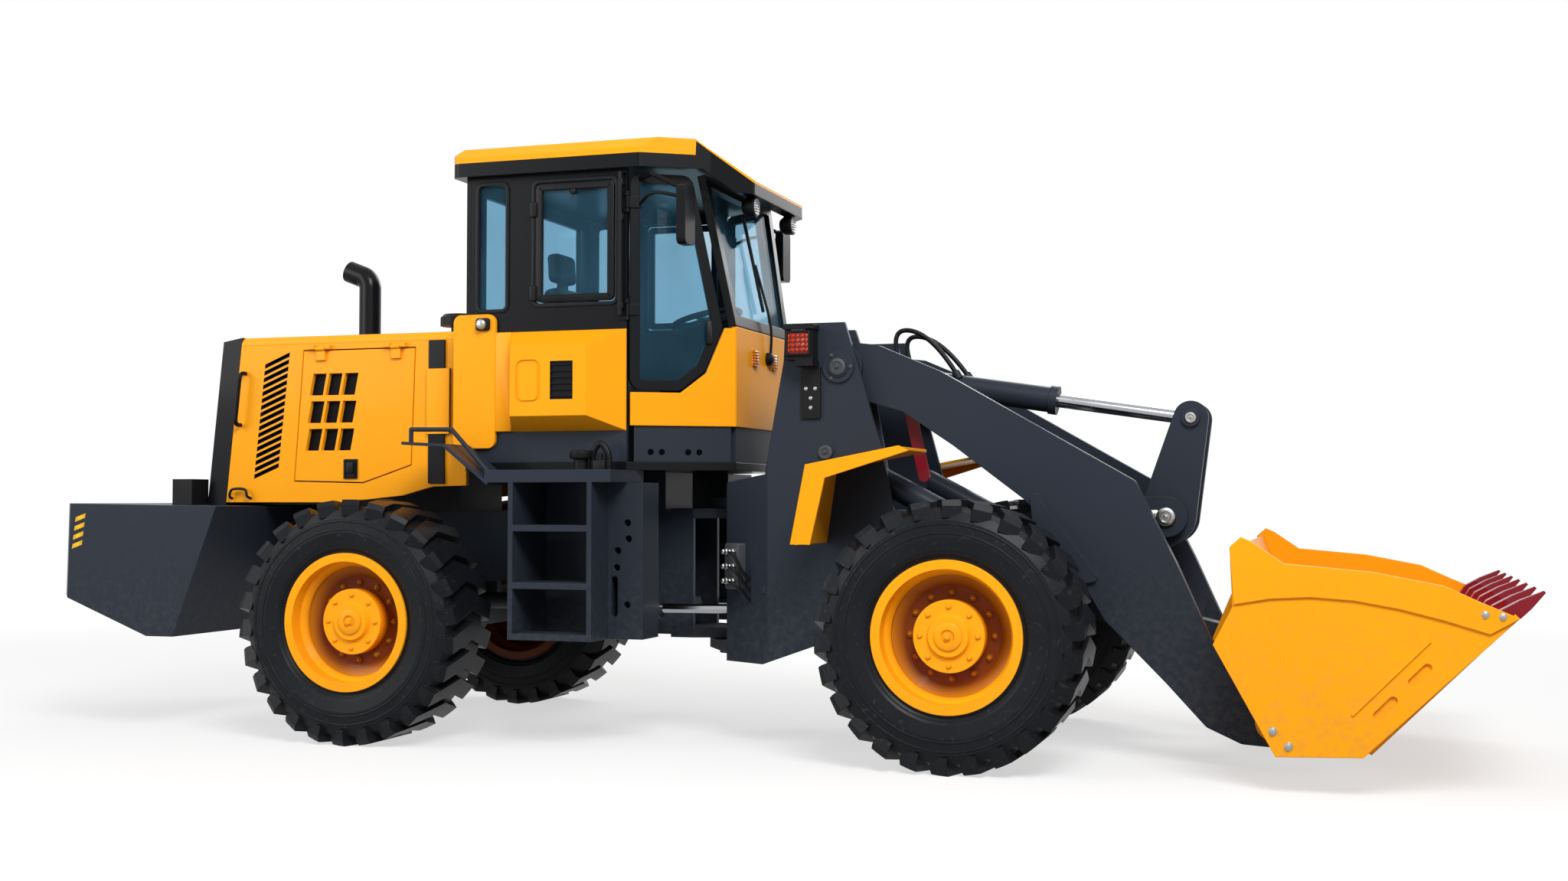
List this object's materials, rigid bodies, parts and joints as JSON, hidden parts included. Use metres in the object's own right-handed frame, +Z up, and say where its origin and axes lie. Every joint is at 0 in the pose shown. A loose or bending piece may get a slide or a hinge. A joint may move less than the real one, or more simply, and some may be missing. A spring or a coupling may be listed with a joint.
{
  "type": "wheel loader",
  "caption": "Articulated wheel loader with a toothed bucket on a Z-bar lift arm, a glazed cab over the frame hinge, a rear engine hood and a cast counterweight",
  "frame": {"origin": "middle of the machine's length and width, on the ground under the tyres", "axes": "+X to the front along the length, +Y to the machine's left, +Z up"},
  "size_m": [7.0444, 2.32, 2.9149],
  "materials": {
    "black_paint": "satin",
    "black_plastic": "matte",
    "cast_iron": "matte",
    "rod_chrome": "polished",
    "seat_leather": "matte",
    "slate_paint": "satin",
    "tooth_red": "satin",
    "tyre_rubber": "matte",
    "window_glass": "clear",
    "yellow_paint": "gloss"
  },
  "bodies": {
    "rear_frame": {"rear_chassis": "slate_paint", "counterweight": "slate_paint", "engine_block": "cast_iron", "hood_top": "yellow_paint", "hood_sides": "yellow_paint", "rear_grille": "black_paint", "exhaust": "black_paint", "precleaner": "black_plastic", "hood_trim": "black_plastic", "side_boxes": "yellow_paint", "steps": "slate_paint", "rear_axle": "cast_iron", "rear_lamps": "black_plastic", "cab_floor": "black_paint", "cab_rear_wall": "black_paint", "cab_sides": "black_paint", "cab_nose": "yellow_paint", "cab_base": "slate_paint", "cab_screen_frame": "black_paint", "cab_roof": "yellow_paint", "cab_glass": "window_glass", "seat": "seat_leather", "steering_column": "black_plastic"},
    "front_frame": {"front_chassis": "slate_paint", "front_fenders": "yellow_paint", "front_axle": "cast_iron", "front_lamps": "black_plastic"},
    "boom": {"boom": "slate_paint", "safety_strut": "tooth_red"},
    "rocker": {"rocker": "slate_paint"},
    "bucket": {"bucket": "yellow_paint", "bucket_teeth": "tooth_red"},
    "bucket_link": {"bucket_link": "slate_paint"},
    "tilt_barrel": {"tilt_barrel": "slate_paint", "tilt_hoses": "black_plastic"},
    "tilt_rod": {"tilt_rod": "rod_chrome"},
    "lift_barrel_left": {"lift_barrel_left": "slate_paint"},
    "lift_rod_left": {"lift_rod_left": "rod_chrome"},
    "steer_barrel_left": {"steer_barrel_left": "slate_paint"},
    "steer_rod_left": {"steer_rod_left": "rod_chrome"},
    "engine_door_left": {"engine_door_left": "yellow_paint"},
    "cab_door_left": {"cab_door_left": "black_paint", "door_glass_left": "window_glass"},
    "wheel_front_left": {"tyre_front_left": "tyre_rubber", "rim_front_left": "yellow_paint"},
    "wheel_rear_left": {"tyre_rear_left": "tyre_rubber", "rim_rear_left": "yellow_paint"},
    "lift_barrel_right": {"lift_barrel_right": "slate_paint"},
    "lift_rod_right": {"lift_rod_right": "rod_chrome"},
    "steer_barrel_right": {"steer_barrel_right": "slate_paint"},
    "steer_rod_right": {"steer_rod_right": "rod_chrome"},
    "engine_door_right": {"engine_door_right": "yellow_paint"},
    "cab_door_right": {"cab_door_right": "black_paint", "door_glass_right": "window_glass"},
    "wheel_front_right": {"tyre_front_right": "tyre_rubber", "rim_front_right": "yellow_paint"},
    "wheel_rear_right": {"tyre_rear_right": "tyre_rubber", "rim_rear_right": "yellow_paint"}
  },
  "joints": [
    {"name": "articulation", "type": "hinge", "parent": "rear_frame", "child": "front_frame", "pos_m": [-0.18619, 0, 0.8], "axis": [0, 0, 1], "range_deg": [-35, 35]},
    {"name": "boom_lift", "type": "hinge", "parent": "front_frame", "child": "boom", "pos_m": [0.53381, 0, 1.8], "axis": [0, -1, 0], "range_deg": [-4, 82]},
    {"name": "bucket_tilt", "type": "hinge", "parent": "boom", "child": "bucket", "pos_m": [2.48381, 0, 0.215], "axis": [0, 1, 0], "range_deg": [0, 165]},
    {"name": "rocker_swing", "type": "hinge", "parent": "boom", "child": "rocker", "pos_m": [1.99381, 0, 1.1], "axis": [0, -1, 0], "range_deg": [-0.5, 74.13]},
    {"name": "link_swing", "type": "hinge", "parent": "bucket", "child": "bucket_link", "pos_m": [2.26581, 0, 0.5263], "axis": [0, -1, 0], "range_deg": [-0.5, 133.92]},
    {"name": "tilt_barrel_swing", "type": "hinge", "parent": "boom", "child": "tilt_barrel", "pos_m": [0.53381, 0, 1.8], "axis": [0, 1, 0], "range_deg": [-0.5, 15.69]},
    {"name": "tilt_rod_slide", "type": "slide", "parent": "tilt_barrel", "child": "tilt_rod", "axis": [-0.9885, 0, 0.1511], "range_m": [-0.001, 0.4413]},
    {"name": "lift_barrel_swing_left", "type": "hinge", "parent": "front_frame", "child": "lift_barrel_left", "pos_m": [0.47381, 0.49, 1.4], "axis": [0, -1, 0], "range_deg": [-4.17, 75.77]},
    {"name": "lift_rod_slide_left", "type": "slide", "parent": "lift_barrel_left", "child": "lift_rod_left", "axis": [0.8862, 0, -0.4633], "range_m": [-0.0256, 0.505]},
    {"name": "steer_barrel_swing_left", "type": "hinge", "parent": "rear_frame", "child": "steer_barrel_left", "pos_m": [-1.09619, 0.385, 0.64], "axis": [0, 0, 1], "range_deg": [-4.58, 4.58]},
    {"name": "steer_rod_slide_left", "type": "slide", "parent": "steer_barrel_left", "child": "steer_rod_left", "axis": [0.9962, -0.0876, 0], "range_m": [-0.1788, 0.1788]},
    {"name": "cab_door_swing_left", "type": "hinge", "parent": "rear_frame", "child": "cab_door_left", "pos_m": [-0.47898, 0.72721, 2.2], "axis": [0, 0, 1], "range_deg": [0, 110]},
    {"name": "engine_door_swing_left", "type": "hinge", "parent": "rear_frame", "child": "engine_door_left", "pos_m": [-2.02619, 0.614, 1.958], "axis": [1, 0, 0], "range_deg": [0, 75]},
    {"name": "wheel_spin_front_left", "type": "hinge", "parent": "front_frame", "child": "wheel_front_left", "pos_m": [1.15381, 0.913, 0.59], "axis": [0, 1, 0], "continuous": true},
    {"name": "wheel_spin_rear_left", "type": "hinge", "parent": "rear_frame", "child": "wheel_rear_left", "pos_m": [-1.78619, 0.913, 0.59], "axis": [0, 1, 0], "continuous": true},
    {"name": "lift_barrel_swing_right", "type": "hinge", "parent": "front_frame", "child": "lift_barrel_right", "pos_m": [0.47381, -0.49, 1.4], "axis": [0, -1, 0], "range_deg": [-4.17, 75.77]},
    {"name": "lift_rod_slide_right", "type": "slide", "parent": "lift_barrel_right", "child": "lift_rod_right", "axis": [0.8862, 0, -0.4633], "range_m": [-0.0256, 0.505]},
    {"name": "steer_barrel_swing_right", "type": "hinge", "parent": "rear_frame", "child": "steer_barrel_right", "pos_m": [-1.09619, -0.385, 0.64], "axis": [0, 0, 1], "range_deg": [-4.58, 4.58]},
    {"name": "steer_rod_slide_right", "type": "slide", "parent": "steer_barrel_right", "child": "steer_rod_right", "axis": [0.9962, 0.0876, 0], "range_m": [-0.1788, 0.1788]},
    {"name": "cab_door_swing_right", "type": "hinge", "parent": "rear_frame", "child": "cab_door_right", "pos_m": [-0.47898, -0.72721, 2.2], "axis": [0, 0, -1], "range_deg": [0, 110]},
    {"name": "engine_door_swing_right", "type": "hinge", "parent": "rear_frame", "child": "engine_door_right", "pos_m": [-2.02619, -0.614, 1.958], "axis": [-1, 0, 0], "range_deg": [0, 75]},
    {"name": "wheel_spin_front_right", "type": "hinge", "parent": "front_frame", "child": "wheel_front_right", "pos_m": [1.15381, -0.913, 0.59], "axis": [0, 1, 0], "continuous": true},
    {"name": "wheel_spin_rear_right", "type": "hinge", "parent": "rear_frame", "child": "wheel_rear_right", "pos_m": [-1.78619, -0.913, 0.59], "axis": [0, 1, 0], "continuous": true}
  ],
  "couplings": [
    {"joint": "rocker_swing", "follows": "bucket_tilt", "ratio": 0.44623},
    {"joint": "link_swing", "follows": "bucket_tilt", "ratio": 0.80861},
    {"joint": "tilt_barrel_swing", "follows": "bucket_tilt", "ratio": 0.092077},
    {"joint": "tilt_rod_slide", "follows": "bucket_tilt", "m_per_rad": 0.15288},
    {"joint": "lift_barrel_swing_left", "follows": "boom_lift", "ratio": 0.91792},
    {"joint": "lift_rod_slide_left", "follows": "boom_lift", "m_per_rad": 0.35214},
    {"joint": "steer_barrel_swing_left", "follows": "articulation", "ratio": 0.11651},
    {"joint": "steer_rod_slide_left", "follows": "articulation", "m_per_rad": -0.29114},
    {"joint": "lift_barrel_swing_right", "follows": "boom_lift", "ratio": 0.91792},
    {"joint": "lift_rod_slide_right", "follows": "boom_lift", "m_per_rad": 0.35214},
    {"joint": "steer_barrel_swing_right", "follows": "articulation", "ratio": 0.11651},
    {"joint": "steer_rod_slide_right", "follows": "articulation", "m_per_rad": 0.29114}
  ]
}
